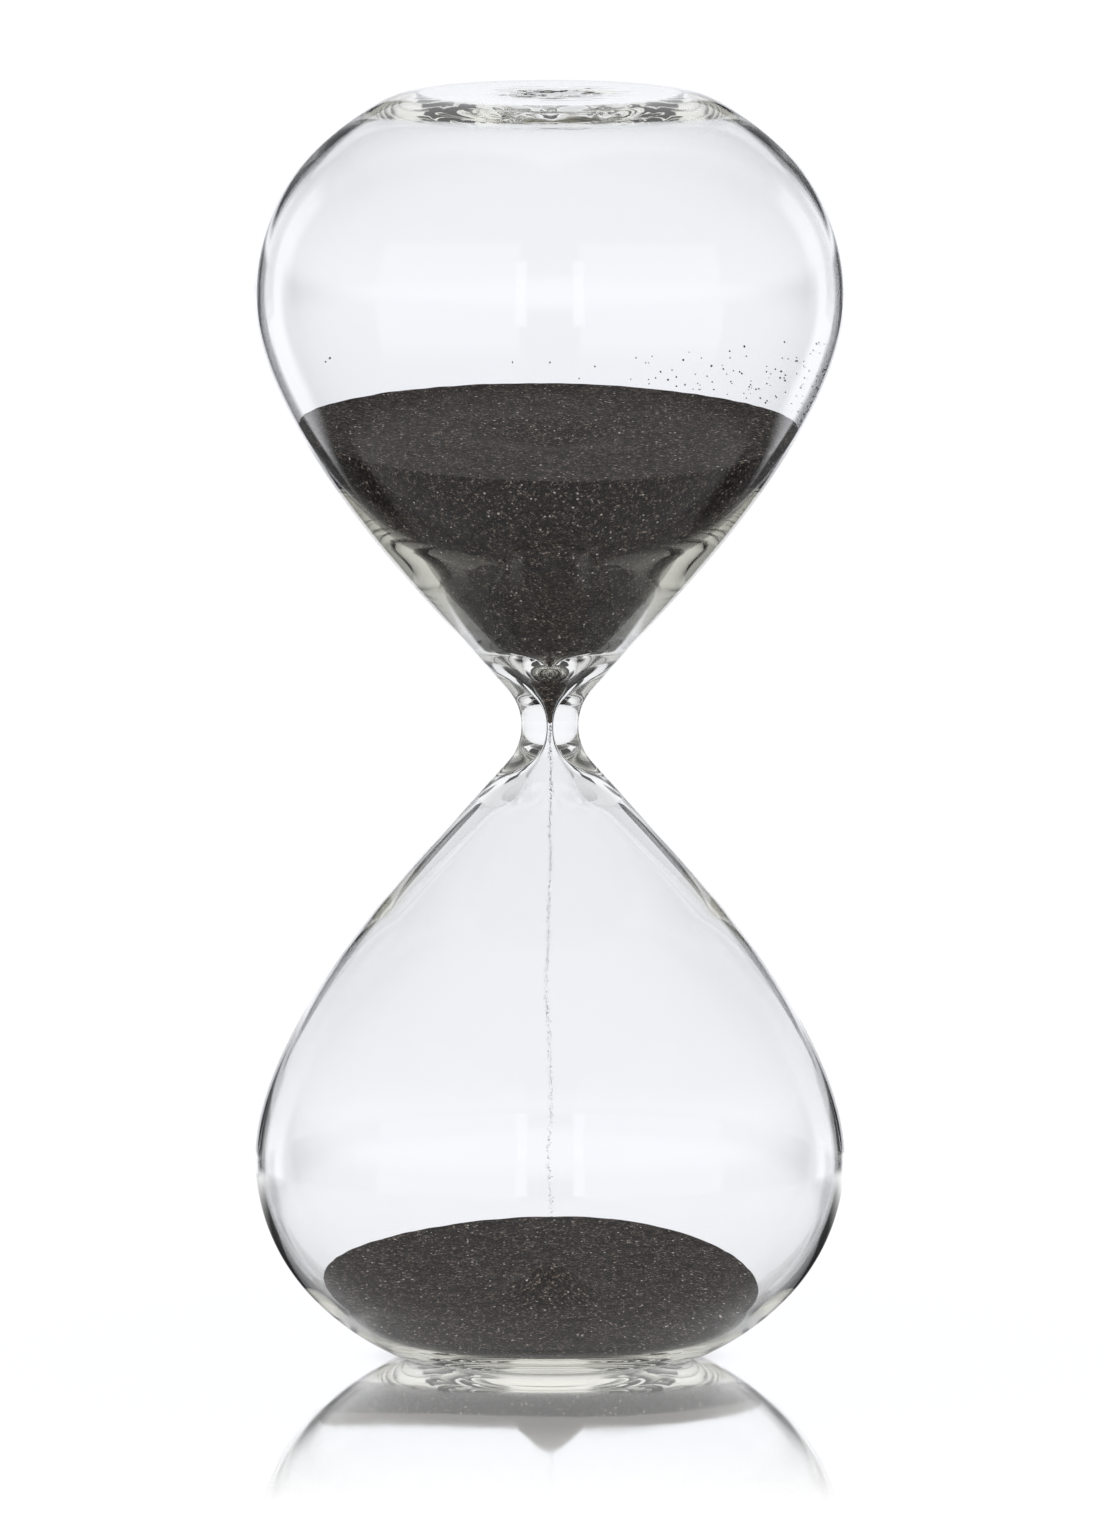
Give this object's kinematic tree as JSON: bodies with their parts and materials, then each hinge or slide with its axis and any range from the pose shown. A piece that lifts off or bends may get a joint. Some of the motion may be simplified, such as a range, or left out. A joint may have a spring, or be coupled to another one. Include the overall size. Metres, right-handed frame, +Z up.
{
  "type": "hourglass",
  "caption": "Free-standing blown-glass hourglass of equal teardrop bulbs with flat thick ends, a thick waisted neck and running black sand.",
  "frame": {"origin": "centre of the flat disc that the glass stands on", "axes": "+Z up along the glass's axis through the orifice; -Y is the front, the side from which the lower sand is lowest; +X is to the right"},
  "size_m": [0.116, 0.116, 0.25],
  "materials": {
    "bulb_glass": "clear blown borosilicate, polished",
    "neck_glass": "clear thick-walled glass, flame polished",
    "seal_glass": "clear melted gob with a wrinkled scar",
    "sand": "fine black sand with bright specks, matte",
    "falling_sand": "thin falling thread of fine black sand"
  },
  "bodies": {
    "glass": {"lower_bulb": "bulb_glass", "upper_bulb": "bulb_glass", "neck": "neck_glass", "fill_seal": "seal_glass", "sand_stream": "falling_sand"},
    "upper_charge": {"upper_sand": "sand"},
    "lower_charge": {"lower_sand": "sand"}
  },
  "joints": [
    {"name": "upper_charge_slide", "type": "slide", "parent": "glass", "child": "upper_charge", "axis": [0, 0, 1], "range_m": [0, 0.037]},
    {"name": "lower_charge_slide", "type": "slide", "parent": "glass", "child": "lower_charge", "axis": [0, 0, 1], "range_m": [0, 0.036], "deforming": ["sand_stream"]}
  ]
}
